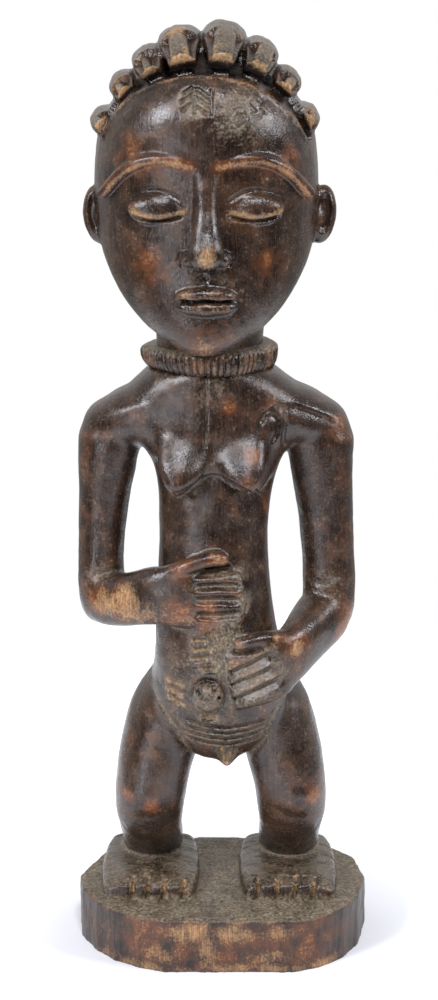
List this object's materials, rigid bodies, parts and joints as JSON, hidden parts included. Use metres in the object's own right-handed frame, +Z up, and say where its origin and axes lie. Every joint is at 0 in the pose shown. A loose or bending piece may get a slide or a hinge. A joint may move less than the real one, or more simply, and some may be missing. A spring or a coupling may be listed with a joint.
{
  "type": "carved ancestor figure",
  "caption": "Standing wooden ancestor figure with ribbed collar, rolled hair and hands on its belly, carved as one with a low oval base.",
  "frame": {"origin": "middle of the width of the base's underside, on its flat resting face", "axes": "+Z up, the figure looks along -Y, +X to its left hand"},
  "size_m": [0.128, 0.1028, 0.4001],
  "materials": {
    "dark_wood": "dark oiled patina, worn to bare brown wood on high points"
  },
  "bodies": {
    "root": {"ancestor_figure": "dark_wood"}
  },
  "joints": []
}
